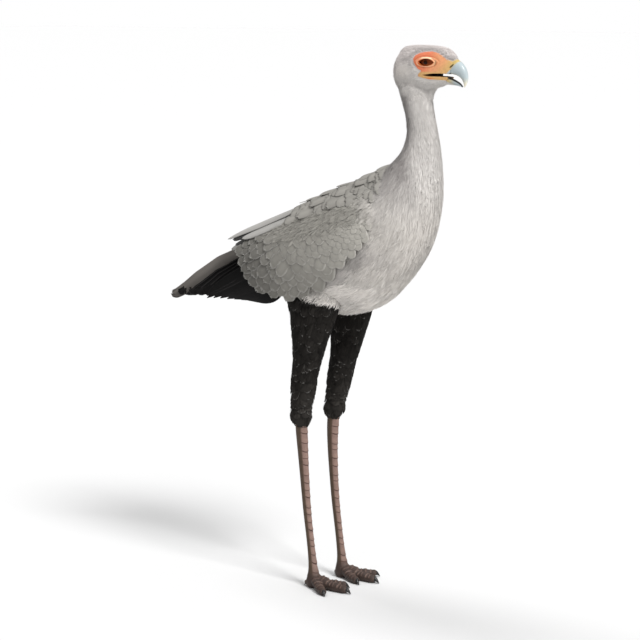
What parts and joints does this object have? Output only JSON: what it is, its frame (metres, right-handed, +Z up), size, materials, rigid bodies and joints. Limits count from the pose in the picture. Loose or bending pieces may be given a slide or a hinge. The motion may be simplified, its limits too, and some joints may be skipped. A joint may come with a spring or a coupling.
{
  "type": "secretary bird",
  "caption": "Life-size long-legged bird of prey standing still, with a hooked bill, a bare face, folded grey wings and black thighs.",
  "frame": {"origin": "on the floor, under the middle of the bird's box", "axes": "+X towards the bill, +Y to the bird's left, +Z up"},
  "size_m": [0.7562, 0.226, 1.122],
  "materials": {
    "head_feathers": "short pale grey feathers and bare orange skin",
    "pale_feathers": "soft pale grey feathers",
    "grey_feathers": "matte grey feathers",
    "black_feathers": "matte black feathers",
    "bill": "smooth pale blue-grey horn",
    "eye": "wet dark brown eye",
    "leg_skin": "scaly brown-pink skin",
    "claw": "blunt dark horn"
  },
  "bodies": {
    "root": {"head": "head_feathers", "neck": "pale_feathers", "torso": "pale_feathers", "bill_upper": "bill", "bill_lower": "bill", "eye_right": "eye", "eye_left": "eye", "wing_right": "grey_feathers", "wing_left": "grey_feathers", "tail": "black_feathers", "thigh_right": "black_feathers", "thigh_left": "black_feathers", "tarsus_right": "leg_skin", "tarsus_left": "leg_skin", "foot_right": "leg_skin", "foot_left": "leg_skin", "claw_middle_right": "claw", "claw_outer_right": "claw", "claw_inner_right": "claw", "claw_hind_right": "claw", "claw_middle_left": "claw", "claw_outer_left": "claw", "claw_inner_left": "claw", "claw_hind_left": "claw"}
  },
  "joints": []
}
